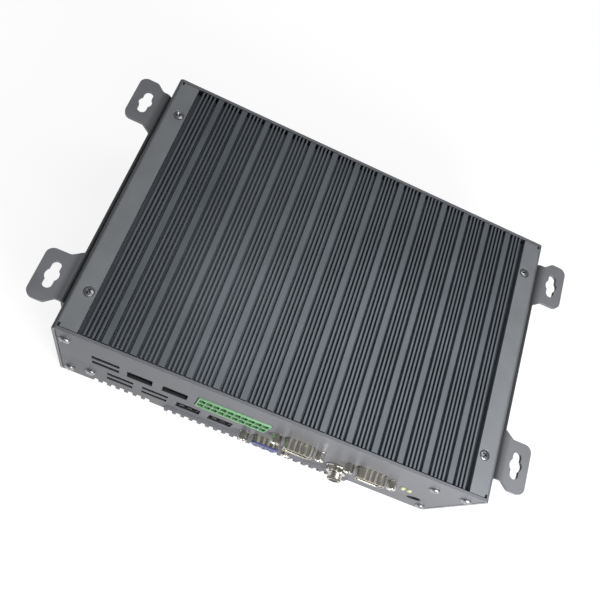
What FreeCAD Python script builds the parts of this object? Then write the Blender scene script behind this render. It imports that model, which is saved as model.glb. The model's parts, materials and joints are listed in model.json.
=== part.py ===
import FreeCAD, Part
import math
import os

# Fanless industrial computer: a finned extruded lid on a folded steel case, wall brackets with
# keyhole ears along both sides, and two stacked boards with their connectors in the front wall.
# Millimetres. The origin is the centre of the underside, +Z is up and the front faces -Y.

# ---- case ----
case_width = 225.0
case_depth = 152.0
case_height = 80.0
sheet = 1.5                    # folded steel of the tray and the side panels
bend_inner = 0.8               # inside radius of every fold
corner_gap = 0.5               # slot between the tray's walls and the side panels
seat_gap = 0.2                 # between pieces that slide past each other when assembled
mould_gap = 0.05               # around a moulded piece in its metal shell
thread_gap = 0.02              # around a thread in its nut or washer
past = 1.0                     # how far a cutter reaches past the face it opens
flange_width = 11.5            # top flange of a side panel, over the lid's border
flange_end_gap = 0.3           # from the flange's ends to the insides of the tray's walls
foot_flange = 14.0             # bottom flange of a side panel, on the tray
relief_width = 1.3             # slot that frees the flange from the side wall at its ends
relief_length = 3.5
tab_width = 9.0                # welded tabs that take the corner screws
tab_bottom = 6.0               # lower end of the tabs above the case's underside

# ---- finned lid ----
lid_base = 6.0                 # metal under the grooves
groove_depth = 4.0
flat_width = 3.1
flat_pitch = 13.65
first_flat = 23.2              # left edge of the first flat, from the case's left side
fin_width = 0.95
fin_gap = 1.15
fins_per_group = 4
lid_end_gap = 0.5              # from the lid's ends to the tray's walls

# ---- wall brackets ----
bracket_sheet = 2.0
bracket_length = 124.0
bracket_drop = 2.0             # top of the ears below the top of the case
bracket_height = 32.0
bracket_offset = 1.0           # the brackets sit this far behind the middle of the depth
bracket_bend = 1.0
ear_reach = 18.0               # from the case's side to the outer edge of an ear
ear_out = 10.8                 # from the case's side to the middle of a keyhole
ear_spacing = 107.0            # between the two keyholes of a bracket
ear_end = 13.7                 # from the keyhole to the ear's edge towards the bracket's end
ear_mid = 12.6                 # and to its edge towards the middle
ear_corner = 4.0
ear_root = 3.6                 # extra length of the ear where it leaves the leg
mid_slope = (2.0, 7.0)         # where an ear's sloping edge starts and stops, from the case's side,
end_slope = (4.8, 9.0)         # on the side of the middle and on the side of the end
ear_blend = 2.5                # radius where the sloping edge runs into the straight ones
keyhole_radius = 3.5
keyslot_width = 4.7
keyslot_length = 14.2

# ---- screws ----
m3 = 3.0                       # thread diameter
screw_clearance = 0.1          # around a thread, in every hole that takes one
pan_head = 5.5
pan_height = 2.0
pan_edge = 0.9                 # straight side of the head
pan_top = 3.3                  # flat on top of the head
flat_head = 5.6
flat_head_depth = 1.3
lid_screw_length = 6.0
panel_screw_length = 5.0
lid_screw_inset = 7.9          # from the case's side
lid_screw_end = 22.0           # from the case's front and rear
corner_screw_inset = 6.2
corner_screw_level = 12.5      # from the case's top and bottom
base_screw_end = 30.0          # from the case's front and rear
base_screw_inset = 9.9
base_screw_tail = 1.0          # past the two sheets
bracket_screw_pitch = 46.0
bracket_screw_drop = 19.0      # from the ears' top

# ---- boards ----
board = 1.6                    # thickness of both circuit boards
board_setback = 2.0            # from the inside of the front wall to the boards' edges
mainboard_level = 40.5         # top face above the case's underside
board_side = 10.5              # from the case's sides to the boards' edges
mainboard_depth = 128.0
io_board_level = 17.5
io_board_depth = 50.0
standoff_flats = 5.5
post_inset = 4.5               # standoffs from the boards' front and rear edges
post_side = 9.5                # and from the upper board's sides
io_post_side = 21.5            # and from the lower board's sides
connector_room = 24.5          # from the boards' front edge to the first posts

# ---- connectors: places are from the case's left side, insets from its right side ----
port_gap = 0.2                 # between a connector's face and the inside of the front wall
window_gap = 0.4               # around what passes through the front wall
usb_places = (("upper", 26.2), ("lower", 34.3), ("lower", 53.6))
lan_places = (("upper", 44.2), ("upper", 63.1), ("lower", 72.9), ("lower", 91.4))
usb_window = (14.4, 5.2)
usb_shell = (15.4, 17.4, 17.2)     # width, depth, height
usb_port = (12.6, 5.1)
usb_port_depth = 13.0
usb_first_port = 3.6           # middle of the lower port above the board
usb_port_pitch = 9.3
usb_tongue = (11.1, 9.0, 1.9)
usb_tongue_drop = 0.9          # below the top of the port
lan_window = (13.5, 11.4)
lan_shell = (16.0, 21.0, 13.3)
lan_wall = 0.7
lan_window_level = 6.4         # middle of the window above the board
lan_cavity = (11.8, 8.2)
lan_cavity_depth = 13.0
lan_latch = (6.2, 2.0)

dsub_spacing = 25.0            # between the two jack screws
dsub_flange = (30.8, 12.5)
dsub_sheet = 1.0
dsub_level = 6.3               # middle of the shell above the board
dsub_corner = 2.4
dsub_slope = 10.0              # degrees that the D's ends lean in
dsub_wall = 0.6
dsub_male_nose = 1.2           # from a male insulator's face to the back of the flange
female_face = 0.8              # face of a female insulator, in front of its shell's rim
dsub_body = (19.0, 12.0, 11.0)     # insulator behind the flange: width, depth, height
male_shell = (16.9, 8.4, 7.4)      # width, height, reach in front of the flange
female_shell = (16.3, 7.9, 5.1)
dent_radius = 1.0              # grip dents pressed into a male shell
dent_depth = 0.3
dent_length = 3.6
dent_inset = 1.2               # from the shell's rim
dent_pitch = 2.5
dent_rows = ((1, 5), (-1, 4))  # above and below the shell: number of dents
socket_depth = 4.0             # contact holes in a female insulator
socket_pitch = 2.29
socket_row_spacing = 1.98
com_places = (132.4, 173.8)
vga_place = 119.0
pin_radius = 0.5
pin_pitch = 2.76
pin_row_spacing = 2.84
pin_reach = 5.6
jack_hex = 4.8                 # across flats
jack_reach = 5.0
jack_bore = 2.6
jack_bore_depth = 4.5
jack_tail = 3.0                # of the stem behind the flange

terminal_place = 94.3
terminal_pitch = 3.81
terminal_poles = 10
terminal_size = (38.9, 9.2, 18.0)  # width, depth, height
terminal_rise = 1.0            # in front of the wall
terminal_hole = (2.7, 5.2)
terminal_hole_depth = 7.0
terminal_rows = (4.9, 13.2)    # middles of the two rows above the board
terminal_pin = 1.0
terminal_pin_recess = 1.5      # from the header's face to the pins' tips

antenna_place = 160.5
antenna_level = 28.0           # above the case's underside
antenna_radius = 4.0
antenna_reach = 8.2
antenna_nut_flats = 10.4
antenna_nut = 3.0
antenna_washer = (6.2, 0.8)    # radius and length of the round parts
antenna_shoulder = (5.4, 2.0)
antenna_tail = (2.6, 9.0)
antenna_mouth = (3.0, 4.5)

power_inset = 16.0
power_size = (9.6, 14.0, 11.0)
power_level = 6.5              # middle of the barrel above the board
power_bore = 6.4
power_window = 8.4
power_pin = 2.1
power_depth = 9.5
power_pin_recess = 1.0

lamp_insets = (29.1, 25.4)
lamp_level = 38.8
lamp_radius = 1.5
lamp_rise = 0.5
lamp_tail = 1.2                # behind the wall

earth_inset = 22.0             # earth screw and the screw of the inner stay, in the front wall
earth_drop = 16.5              # from the case's top
stay_place = 18.0
stay_level = 21.0

# ---- ventilation slots round the tray's front fold ----
vent_pitch = 5.0
vent_width = 2.8
vent_rise = 8.0                # up the front wall
vent_run = 7.0                 # along the bottom
vent_bulge = 1.4               # how far the ribs between the slots of the long group are pushed out
vent_groups = ((20.8, 7, 0.0), (65.0, 22, vent_bulge))  # middle of the first slot, slots, bulge

# ---- inside: places across are from the middle of the case, to the right ----
cpu_size = (37.5, 37.5, 4.4)
cpu_back = 8.0                 # middle of the processor behind the middle of the case
pad = 0.5
block_width = 56.0
block_screw_inset = 5.0
block_screw_grip = 4.0         # into the lid
block_screw_sink = 0.5         # head below the block's face
head_gap = 0.3                 # around a sunk head
tip_gap = 0.5                  # past a screw's tip in a blind hole
memory_socket_size = (7.0, 70.0, 5.0)
memory_card_size = (30.0, 67.6, 1.2)
memory_card_lift = 2.4
memory_card_seat = 4.0
memory_place = -41.0           # middle of the socket
cell_radius = 10.0
cell_height = 3.2
cell_holder = 1.4
cell_rim = 1.5
cell_place = 61.5
cell_back = 20.0
drive_size = (69.9, 100.0, 7.0)
drive_lift = 4.0
drive_wall = 1.5
drive_gap = 0.2                # between the drive and the cradle's sides
drive_pad = (6.0, 8.0)         # raised pads under the drive: width and depth
drive_pad_inset = 6.0          # their middles from the inside of the cradle's sides
drive_back = 18.0              # middle of the drive behind the middle of the case
drive_place = -25.0
drive_screw_length = 4.0
drive_screw_spacing = 76.6

half_width = case_width / 2
board_width = case_width - 2 * board_side
half_depth = case_depth / 2
front = -half_depth
wall_inside = front + sheet                    # inner face of the front wall
port_face = wall_inside + port_gap             # faces of the connectors behind the wall
board_front = wall_inside + board_setback
fold_run = sheet + bend_inner + seat_gap       # past the inside of a fold
lid_top = case_height - sheet                  # the lid's border lies under the flanges
lid_bottom = case_height - groove_depth - lid_base
mainboard_under = mainboard_level - board
io_board_under = io_board_level - board
levels = {"upper": mainboard_level, "lower": io_board_level}
parts = {}


def across(place):
    """A place measured from the case's left side, as X."""
    return place - half_width


def block(x0, x1, y0, y1, z0, z1):
    """A box from its low and high corners."""
    return Part.makeBox(x1 - x0, y1 - y0, z1 - z0, FreeCAD.Vector(x0, y0, z0))


def centred(size, x, y0, z0):
    """A box of width, depth and height, centred on x, from y0 back and from z0 up."""
    return block(x - size[0] / 2, x + size[0] / 2, y0, y0 + size[1], z0, z0 + size[2])


def pocket(size, x, face, z0):
    """The cutter of a box that opens in a face towards the front, centred on x."""
    width, depth, height = size
    return centred((width, depth + past, height), x, face - past, z0)


def rod(radius, length, base, direction):
    """A cylinder from its base point along a direction."""
    return Part.makeCylinder(radius, length, FreeCAD.Vector(*base), FreeCAD.Vector(*direction))


def group(solids):
    """Separate solids that share one node."""
    return Part.makeCompound(solids)


def placed(u, v, plane, offset):
    """A point of a drawing plane: XY at a height, XZ at a depth or YZ at a width."""
    if plane == "XY":
        return FreeCAD.Vector(u, v, offset)
    if plane == "XZ":
        return FreeCAD.Vector(u, offset, v)
    return FreeCAD.Vector(offset, u, v)


def outline(points, radii, plane="XY", offset=0.0):
    """A closed face from corner points, each rounded to its own radius."""
    count = len(points)
    ends = []
    edges = []
    for index in range(count):
        before = FreeCAD.Vector(*points[index - 1], 0)
        corner = FreeCAD.Vector(*points[index], 0)
        after = FreeCAD.Vector(*points[(index + 1) % count], 0)
        back = (before - corner).normalize()
        ahead = (after - corner).normalize()
        radius = radii[index]
        if radius <= 0:
            ends.append((corner, None, corner))
            continue
        half_angle = back.getAngle(ahead) / 2
        run = radius / math.tan(half_angle)
        middle = (back + ahead).normalize()
        depth = radius / math.sin(half_angle) - radius
        ends.append((corner + back * run, corner + middle * depth, corner + ahead * run))
    for index in range(count):
        start, mid, stop = [p and placed(p.x, p.y, plane, offset) for p in ends[index]]
        if mid:
            edges.append(Part.Arc(start, mid, stop).toShape())
        following = ends[(index + 1) % count][0]
        target = placed(following.x, following.y, plane, offset)
        if stop.distanceToPoint(target) > 1e-6:
            edges.append(Part.LineSegment(stop, target).toShape())
    return Part.Face(Part.Wire(edges))


def folded(points, thickness, inner_radius, plane, offset, length):
    """A folded strip: corner points of its outer side, material on the left of the path."""
    outer_radius = inner_radius + thickness
    outer = []
    inner = []
    path = [FreeCAD.Vector(*p, 0) for p in points]
    normals = []
    for here, there in zip(path, path[1:]):
        step = (there - here).normalize()
        normals.append(FreeCAD.Vector(-step.y, step.x, 0))
    outer.append(path[0])
    inner.append(path[0] + normals[0] * thickness)
    for index in range(1, len(path) - 1):
        first, second = normals[index - 1], normals[index]
        centre = path[index] + (first + second) * outer_radius
        middle = (first + second).normalize()
        outer += [centre - first * outer_radius, centre - middle * outer_radius,
                  centre - second * outer_radius]
        inner += [centre - first * inner_radius, centre - middle * inner_radius,
                  centre - second * inner_radius]
    outer.append(path[-1])
    inner.append(path[-1] + normals[-1] * thickness)

    def chain(line):
        line = [placed(p.x, p.y, plane, offset) for p in line]
        edges = [Part.LineSegment(line[0], line[1]).toShape()]
        for index in range(1, len(line) - 1, 3):
            edges.append(Part.Arc(*line[index:index + 3]).toShape())
            edges.append(Part.LineSegment(line[index + 2], line[index + 3]).toShape())
        return edges, line[0], line[-1]

    outer_edges, outer_start, outer_end = chain(outer)
    inner_edges, inner_start, inner_end = chain(inner)
    caps = [Part.LineSegment(outer_end, inner_end).toShape(),
            Part.LineSegment(inner_start, outer_start).toShape()]
    wire = Part.Wire(outer_edges + caps[:1] + inner_edges[::-1] + caps[1:])
    return Part.Face(wire).extrude(placed(0, 0, plane, length))


def turned(profile, point, direction):
    """A turned piece from its half profile of radius and length pairs, along a direction."""
    corners = [FreeCAD.Vector(radius, 0, along) for radius, along in profile + profile[:1]]
    face = Part.Face(Part.makePolygon(corners))
    piece = face.revolve(FreeCAD.Vector(0, 0, 0), FreeCAD.Vector(0, 0, 1), 360)
    turn = FreeCAD.Rotation(FreeCAD.Vector(0, 0, 1), FreeCAD.Vector(*direction))
    piece.Placement = FreeCAD.Placement(FreeCAD.Vector(*point), turn)
    return piece


def pan_screw(x, y, z, direction, length):
    """A pan head screw: the head stands on the point, the thread goes along the direction."""
    profile = [(0, -pan_height), (pan_top / 2, -pan_height), (pan_head / 2, -pan_edge),
               (pan_head / 2, 0), (m3 / 2, 0), (m3 / 2, length), (0, length)]
    return turned(profile, (x, y, z), direction)


def flat_screw(x, y, z, direction, length, spare=0.0):
    """A countersunk screw, flush at the point. With spare it is the hole for that screw."""
    thread = m3 / 2 + spare
    profile = [(0, 0), (flat_head / 2 + spare, 0), (thread, flat_head_depth),
               (thread, length + spare), (0, length + spare)]
    return turned(profile, (x, y, z), direction)


def screw_hole(x, y, z, direction, length):
    """The clearance hole of a screw, from a point along its thread."""
    return rod(m3 / 2 + screw_clearance, length, (x, y, z), direction)


def bore(radius, depth, x, face, z):
    """The cutter of a round hole that opens in a face towards the front."""
    return rod(radius, depth + past, (x, face - past, z), (0, 1, 0))


def hexagon(flats, length, base, direction):
    """A hexagonal bar along Y or Z."""
    plane = "XY" if direction[2] else "XZ"
    corner = flats / math.sqrt(3)
    points = []
    for step in range(6):
        angle = math.radians(60 * step + 30)
        points.append((corner * math.cos(angle), corner * math.sin(angle)))
    bar = outline(points, [0] * 6, plane).extrude(FreeCAD.Vector(*direction) * length)
    bar.translate(FreeCAD.Vector(*base))
    return bar


def d_shape(width, height, x, y, z, length):
    """The D of a connector shell, its longer side up, extruded back from y."""
    lean = height * math.tan(math.radians(dsub_slope))
    low, high = z - height / 2, z + height / 2
    points = [(x - width / 2, high), (x - width / 2 + lean, low),
              (x + width / 2 - lean, low), (x + width / 2, high)]
    corner = min(dsub_corner, height * 0.3)
    face = outline(points, [corner] * 4, "XZ", y)
    return face.extrude(FreeCAD.Vector(0, length, 0))


# ---- where the fasteners go ----
lid_screw_spots = [(sx * (half_width - lid_screw_inset), sy * (half_depth - lid_screw_end))
                   for sx in (-1, 1) for sy in (-1, 1)]
base_screw_spots = [(sx * (half_width - base_screw_inset), sy * (half_depth - base_screw_end))
                    for sx in (-1, 1) for sy in (-1, 1)]
corner_screw_spots = [(sx * (half_width - corner_screw_inset), level)
                      for sx in (-1, 1)
                      for level in (corner_screw_level, case_height - corner_screw_level)]
loose_screw_spots = [(across(case_width - earth_inset), case_height - earth_drop),
                     (across(stay_place), stay_level)]
bracket_screw_level = case_height - bracket_drop - bracket_screw_drop
bracket_screw_rows = [bracket_offset + step * bracket_screw_pitch for step in (-1, 0, 1)]


# ---- finned lid ----
def rib_spans():
    """Left and right edges of every flat and fin, from the case's left side."""
    right_edge = case_width - flange_width
    lead = (flat_pitch - flat_width - fins_per_group * fin_width
            - (fins_per_group - 1) * fin_gap) / 2
    spans = []
    start = first_flat - flat_pitch
    while start < right_edge:
        spans.append((start, start + flat_width))
        for step in range(fins_per_group):
            left = start + flat_width + lead + step * (fin_width + fin_gap)
            spans.append((left, left + fin_width))
        start += flat_pitch
    return [(a, b) for a, b in spans
            if a - flange_width >= fin_gap and right_edge - b >= fin_gap]


def make_lid():
    lid_left = sheet + bend_inner
    groove_floor = case_height - groove_depth
    points = [(lid_left, lid_bottom), (lid_left, lid_top), (flange_width, lid_top),
              (flange_width, groove_floor)]
    for left, right in rib_spans():
        points += [(left, groove_floor), (left, case_height),
                   (right, case_height), (right, groove_floor)]
    points += [(case_width - flange_width, groove_floor), (case_width - flange_width, lid_top),
               (case_width - lid_left, lid_top), (case_width - lid_left, lid_bottom)]
    lid_front = wall_inside + lid_end_gap
    section = [FreeCAD.Vector(across(x), lid_front, z) for x, z in points + points[:1]]
    lid = Part.Face(Part.makePolygon(section)).extrude(FreeCAD.Vector(0, -2 * lid_front, 0))
    holes = [flat_screw(x, y, case_height, (0, 0, -1), lid_screw_length, screw_clearance)
             for x, y in lid_screw_spots]
    holes += [screw_hole(x, y, lid_bottom, (0, 0, 1), block_screw_grip + tip_gap)
              for x, y in block_screw_spots()]
    return lid.cut(group(holes))


def block_screw_spots():
    """Screws of the heat block, near its corners."""
    reach = block_width / 2 - block_screw_inset
    return [(sx * reach, cpu_back + sy * reach) for sx in (-1, 1) for sy in (-1, 1)]


# ---- folded case ----
def make_side_panel(side):
    """One side: wall, top flange over the lid, bottom flange on the tray and screw tabs."""
    outer = [(-half_width + flange_width, case_height), (-half_width, case_height),
             (-half_width, sheet), (-half_width + sheet + foot_flange, sheet)]
    panel = folded(outer, sheet, bend_inner, "XZ", front, case_depth)
    trims = []
    for end in (-1, 1):
        edge = end * half_depth
        inner = end * (half_depth - sheet - flange_end_gap)
        notch = end * (half_depth - relief_length)
        flange_root = -half_width + sheet + corner_gap
        trims.append(block(flange_root, -half_width + flange_width + past, min(edge, inner),
                           max(edge, inner), lid_top - past, case_height + past))
        trims.append(block(flange_root, flange_root + relief_width, min(edge, notch),
                           max(edge, notch), lid_top - past, case_height + past))
        foot_end = end * (half_depth - fold_run)
        trims.append(block(flange_root, -half_width + sheet + foot_flange + past,
                           min(edge, foot_end), max(edge, foot_end), 0, 2 * sheet + past))
    panel = panel.cut(group(trims))
    tabs = []
    for end in (-1, 1):
        tab_face = end * (half_depth - sheet)
        tab_back = end * (half_depth - 2 * sheet)
        tabs.append(block(-half_width + sheet / 2, -half_width + sheet + tab_width,
                          min(tab_face, tab_back), max(tab_face, tab_back),
                          tab_bottom, lid_bottom - seat_gap))
    panel = panel.fuse(tabs).removeSplitter()
    if side > 0:
        panel = panel.mirror(FreeCAD.Vector(0, 0, 0), FreeCAD.Vector(1, 0, 0))
    holes = []
    for x, y in lid_screw_spots:
        holes.append(flat_screw(x, y, case_height, (0, 0, -1), lid_screw_length, screw_clearance))
    for x, y in base_screw_spots:
        holes.append(screw_hole(x, y, 0, (0, 0, 1), 3 * sheet))
    for x, z in corner_screw_spots:
        holes.append(screw_hole(x, front, z, (0, 1, 0), case_depth))
    for y in bracket_screw_rows:
        holes.append(screw_hole(side * (half_width - 2 * sheet), y, bracket_screw_level,
                                (side, 0, 0), 3 * sheet))
    return panel.cut(group(holes))


def make_tray():
    """Bottom, front wall and rear wall, folded from one sheet."""
    path = [(front, case_height), (front, 0), (half_depth, 0), (half_depth, case_height)]
    tray = folded(path, sheet, bend_inner, "YZ", -half_width, case_width)
    wall_edge = half_width - sheet - corner_gap
    trims = []
    for side in (-1, 1):
        for end in (-1, 1):
            x0, x1 = sorted((side * wall_edge, side * (half_width + past)))
            y0, y1 = sorted((end * (half_depth - fold_run), end * (half_depth + past)))
            trims.append(block(x0, x1, y0, y1, -past, case_height + past))
    for first, number, bulge in vent_groups:
        if bulge:
            tray = push_out(tray, first, number, bulge)
        for step in range(number):
            trims.append(vent_slot(across(first + step * vent_pitch), bulge))
    trims += front_windows()
    for x, z in corner_screw_spots:
        trims.append(screw_hole(x, front - past, z, (0, 1, 0), case_depth + 2 * past))
    for x, z in loose_screw_spots:
        trims.append(screw_hole(x, front - past, z, (0, 1, 0), sheet + 2 * past))
    for x, y in base_screw_spots:
        trims.append(flat_screw(x, y, 0, (0, 0, 1), 2 * sheet, screw_clearance))
    return tray.cut(group(trims))


def push_out(tray, first, number, bulge):
    """The tray with the fold of one group of slots pushed out to the front, up to a short ramp."""
    web = vent_pitch - vent_width
    left = across(first) - vent_width / 2 - web
    width = number * vent_pitch + web
    crest = vent_rise + bulge
    lip = front - bulge
    end = front + vent_run
    outside = outline([(front, crest), (lip, vent_rise), (lip, 0), (end, 0), (end, crest)],
                      [0, 0, bend_inner + sheet, 0, 0], "YZ", left)
    inside = outline([(wall_inside, crest), (lip + sheet, vent_rise), (lip + sheet, sheet),
                      (end, sheet), (end, crest)], [0, 0, bend_inner, 0, 0], "YZ", left)
    along = FreeCAD.Vector(width, 0, 0)
    strip = outside.extrude(along).cut(inside.extrude(along))
    gap = block(left, left + width, lip, end, -past, crest)
    return tray.cut(gap).fuse(strip).removeSplitter()


def vent_slot(x, bulge):
    """One slot round the front fold, with a round end up the wall and another along the bottom."""
    half = vent_width / 2
    top = vent_rise - half
    start = front - bulge - past
    upright = block(x - half, x + half, start, wall_inside + past, -past, top)
    upright = upright.fuse(rod(half, wall_inside + past - start, (x, start, top), (0, 1, 0)))
    floor_end = front + vent_run - half
    level = block(x - half, x + half, start, floor_end, -past, sheet + past)
    level = level.fuse(rod(half, sheet + 2 * past, (x, floor_end, -past), (0, 0, 1)))
    return upright.fuse(level)


def front_windows():
    """Everything that is cut through the front wall for the connectors."""
    start = front - past
    through = sheet + 2 * past
    cuts = []
    for level, place in usb_places:
        for port in range(2):
            z = levels[level] + usb_first_port + port * usb_port_pitch
            size = (usb_window[0], through, usb_window[1])
            cuts.append(centred(size, across(place), start, z - usb_window[1] / 2))
    for level, place in lan_places:
        z = levels[level] + lan_window_level
        size = (lan_window[0], through, lan_window[1])
        cuts.append(centred(size, across(place), start, z - lan_window[1] / 2))
    size = (terminal_size[0] + 2 * window_gap, through, terminal_size[2] + 2 * window_gap)
    cuts.append(centred(size, across(terminal_place), start, mainboard_level - window_gap))
    for place, board_level, shell in dsub_list():
        z = board_level + dsub_level
        cuts.append(d_shape(shell[0] + 2 * window_gap, shell[1] + 2 * window_gap,
                            across(place), start, z, through))
        for side in (-1, 1):
            cuts.append(rod(m3 / 2 + screw_clearance, through,
                            (across(place) + side * dsub_spacing / 2, start, z), (0, 1, 0)))
    cuts.append(rod(antenna_radius + screw_clearance, through,
                    (across(antenna_place), start, antenna_level), (0, 1, 0)))
    cuts.append(rod(power_window / 2, through,
                    (across(case_width - power_inset), start, io_board_level + power_level), (0, 1, 0)))
    for inset in lamp_insets:
        cuts.append(rod(lamp_radius + screw_clearance, through,
                        (across(case_width - inset), start, lamp_level), (0, 1, 0)))
    return cuts


def dsub_list():
    """Place, board level and shell of each nine or fifteen pole connector."""
    serial = [(place, mainboard_level, male_shell) for place in com_places]
    return serial + [(vga_place, io_board_level, female_shell)]


# ---- wall brackets ----
def ear_outline(keyhole, towards_end):
    """Plan of one ear: out from the case's side, along Y from the keyhole."""
    points = [(0, -ear_mid - ear_root), (mid_slope[0], -ear_mid - ear_root),
              (mid_slope[1], -ear_mid), (ear_reach, -ear_mid), (ear_reach, ear_end),
              (end_slope[1], ear_end), (end_slope[0], ear_end - ear_root),
              (0, ear_end - ear_root)]
    radii = [0, 0, ear_blend, ear_corner, ear_corner, ear_blend, ear_blend, 0]
    in_place = [(out, keyhole + towards_end * along) for out, along in points]
    return outline(in_place, radii)


def make_bracket(side):
    """An L of sheet: the leg lies on the side panel, two ears are left standing out at the top."""
    top = case_height - bracket_drop
    path = [(0, top - bracket_height), (0, top), (-ear_reach - past, top)]
    angle = folded(path, bracket_sheet, bracket_bend, "XZ", -bracket_length, 2 * bracket_length)
    plan = [block(-bracket_sheet, 0, -bracket_length / 2, bracket_length / 2, 0, top + past)]
    cuts = []
    for towards_end in (-1, 1):
        keyhole = towards_end * ear_spacing / 2
        plan.append(outline_to_prism(ear_outline(keyhole, towards_end), top))
        under = top - bracket_sheet - past
        through = bracket_sheet + 2 * past
        cuts.append(rod(keyhole_radius, through, (-ear_out, keyhole, under), (0, 0, 1)))
        run = (keyslot_length - keyslot_width) / 2
        cuts.append(block(-ear_out - keyslot_width / 2, -ear_out + keyslot_width / 2,
                          keyhole - run, keyhole + run, under, top + past))
        for tip in (-1, 1):
            cuts.append(rod(keyslot_width / 2, through, (-ear_out, keyhole + tip * run, under),
                            (0, 0, 1)))
    bracket = angle.common(plan[0].fuse(plan[1:])).cut(group(cuts))
    for y in bracket_screw_rows:
        bracket = bracket.cut(screw_hole(past, y - bracket_offset, bracket_screw_level,
                                         (-1, 0, 0), bracket_sheet + 2 * past))
    bracket.translate(FreeCAD.Vector(-half_width, bracket_offset, 0))
    if side > 0:
        bracket = bracket.mirror(FreeCAD.Vector(0, 0, 0), FreeCAD.Vector(1, 0, 0))
    return bracket


def outline_to_prism(face, height):
    """The plan of an ear as a tall prism, mirrored to the left side."""
    prism = face.extrude(FreeCAD.Vector(0, 0, height + past))
    return prism.mirror(FreeCAD.Vector(0, 0, 0), FreeCAD.Vector(1, 0, 0))


# ---- boards and what stands on them ----
def post_spots(reach, rows):
    """Standoffs in pairs at both sides, at rows measured from the boards' front edge."""
    return [(side * reach, board_front + row) for row in rows for side in (-1, 1)]


def make_board(width, depth, under, spots):
    plate = block(-width / 2, width / 2, board_front, board_front + depth, under, under + board)
    return plate.cut(group([screw_hole(x, y, under - past, (0, 0, 1), board + 2 * past)
                            for x, y in spots]))


def make_posts(spots, bottom, top, stud=False):
    """Hexagonal standoffs, tapped at the top, some with a stud into the post below."""
    posts = []
    for x, y in spots:
        post = hexagon(standoff_flats, top - bottom, (x, y, bottom), (0, 0, 1))
        if stud:
            post = post.fuse(rod(m3 / 2, panel_screw_length, (x, y, bottom), (0, 0, -1)))
        posts.append(post.cut(screw_hole(x, y, top - panel_screw_length - tip_gap, (0, 0, 1),
                                         panel_screw_length + tip_gap + past)))
    return group(posts)


def make_usb(number, level, place):
    """A double stack: a steel shell with two ports and the tongue in each."""
    x, base = across(place), levels[level]
    shell = centred(usb_shell, x, port_face, base)
    tongues = []
    for port in range(2):
        z = base + usb_first_port + port * usb_port_pitch
        size = (usb_port[0], usb_port_depth, usb_port[1])
        shell = shell.cut(pocket(size, x, port_face, z - usb_port[1] / 2))
        tongues.append(centred(usb_tongue, x, port_face + usb_port_depth - usb_tongue[1],
                               z + usb_port[1] / 2 - usb_tongue[2] - usb_tongue_drop))
    parts["usb_shell_%d" % number] = shell
    parts["usb_tongues_%d" % number] = group(tongues)


def make_lan(number, level, place):
    """A network jack: a shield and the moulded insert with its stepped cavity."""
    x, base = across(place), levels[level]
    shield = centred(lan_shell, x, port_face, base)
    inner = (lan_shell[0] - 2 * lan_wall, lan_shell[1] - lan_wall, lan_shell[2] - 2 * lan_wall)
    shield = shield.cut(pocket(inner, x, port_face, base + lan_wall))
    insert_size = (inner[0] - 2 * mould_gap, inner[1], inner[2] - 2 * mould_gap)
    insert = centred(insert_size, x, port_face, base + lan_wall + mould_gap)
    z = base + lan_window_level - lan_cavity[1] / 2 + lan_latch[1] / 2
    cavity = pocket((lan_cavity[0], lan_cavity_depth, lan_cavity[1]), x, port_face, z)
    latch = pocket((lan_latch[0], lan_cavity_depth, lan_latch[1] + past), x, port_face,
                   z - lan_latch[1])
    parts["lan_shield_%d" % number] = shield
    parts["lan_insert_%d" % number] = insert.cut(cavity.fuse(latch))


def dsub_pins(x, y, z, rows, pitch, row_spacing):
    """Contact positions of a connector face, in two or three rows."""
    spots = []
    for row, count in enumerate(rows):
        level = z + ((len(rows) - 1) / 2 - row) * row_spacing
        for step in range(count):
            spots.append((x + (step - (count - 1) / 2) * pitch, y, level))
    return spots


def dents(shell, x, rim, z):
    """The cutters of the grip dents above and below a male shell."""
    spots = []
    for side, count in dent_rows:
        level = z + side * (shell[1] / 2 + dent_radius - dent_depth)
        for step in range(count):
            place = x + (step - (count - 1) / 2) * dent_pitch
            spots.append(rod(dent_radius, dent_length, (place, rim + dent_inset, level), (0, 1, 0)))
    return spots


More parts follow.
